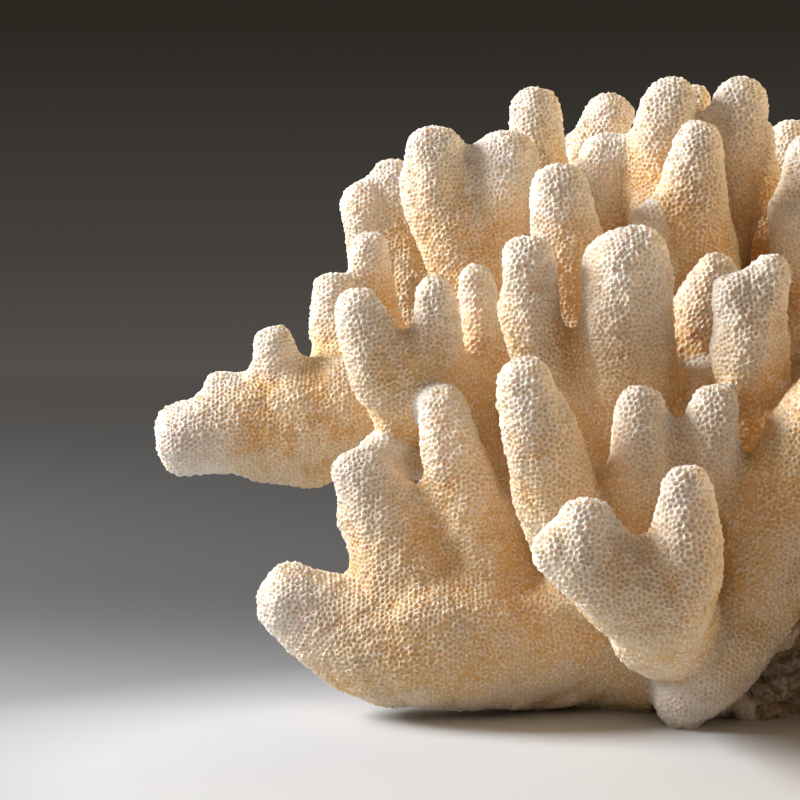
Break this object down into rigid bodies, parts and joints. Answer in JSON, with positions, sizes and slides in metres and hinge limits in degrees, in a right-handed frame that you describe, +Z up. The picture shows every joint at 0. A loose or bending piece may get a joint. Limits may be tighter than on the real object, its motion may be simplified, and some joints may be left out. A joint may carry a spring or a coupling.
{
  "type": "coral skeleton",
  "caption": "Dried cream coral skeleton with blunt, club-shaped fingers in paw-like clusters that spread from a solid holdfast, cut off flat underneath.",
  "frame": {"origin": "centre of the flat cut under the holdfast, in the plane of the cut", "axes": "+Z up, away from the cut; +X to the viewer's right and +Y away from the viewer in the picture"},
  "size_m": [0.2892, 0.2161, 0.1402],
  "materials": {
    "branches": "matte, finely pitted, ivory to warm cream",
    "holdfast": "matte, rough, stained cream to brown"
  },
  "bodies": {
    "root": {"holdfast": "holdfast", "low_left_branch": "branches", "left_arm": "branches", "front_left_paw": "branches", "centre_club": "branches", "front_branch": "branches", "front_right_finger": "branches", "right_centre_paw": "branches", "heart_plate": "branches", "back_left_paw": "branches", "top_left_paw": "branches", "top_paw": "branches", "back_upper_paw": "branches", "top_right_paw": "branches", "right_front_paw": "branches", "right_low_branch": "branches", "low_front_finger": "branches", "upper_front_paw": "branches", "low_right_finger": "branches", "right_arm": "branches", "right_upper_paw": "branches", "right_back_branch": "branches", "back_right_paw": "branches", "back_branch": "branches", "back_low_left_branch": "branches"}
  },
  "joints": []
}
